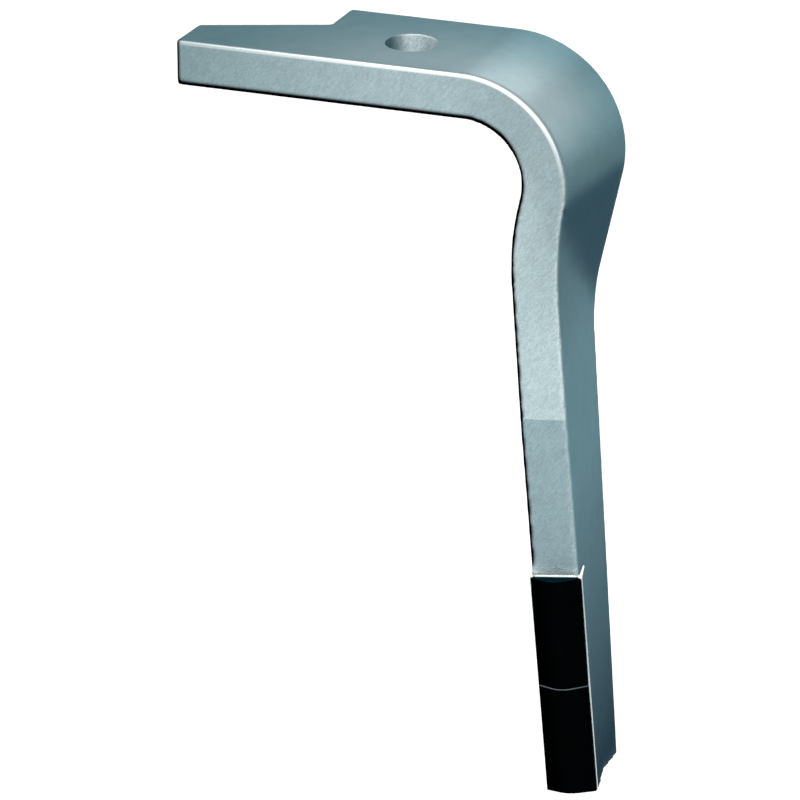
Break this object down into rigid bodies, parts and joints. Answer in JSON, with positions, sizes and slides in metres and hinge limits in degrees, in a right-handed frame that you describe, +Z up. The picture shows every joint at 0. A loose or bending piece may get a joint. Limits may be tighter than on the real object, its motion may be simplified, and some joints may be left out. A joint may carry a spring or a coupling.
{
  "type": "power harrow tine",
  "caption": "Forged soil-working blade: a flat bored shank bends down into a leaning, slightly twisted knife with carbide tiles brazed along its leading edge.",
  "frame": {"origin": "the pin bore's axis where it leaves the shank's upper face", "axes": "+Z up along the bore and away from the soil, +X along the shank toward the bend, +Y from the leading cutting side to the trailing side"},
  "size_m": [0.1724, 0.0668, 0.2926],
  "materials": {
    "forged_steel": "satin, shot-blasted",
    "carbide": "smooth sintered, dark",
    "braze": "bright run filler"
  },
  "bodies": {
    "root": {"tine_forging": "forged_steel", "carbide_tile_upper": "carbide", "carbide_tile_lower": "carbide", "braze_filler": "braze"}
  },
  "joints": []
}
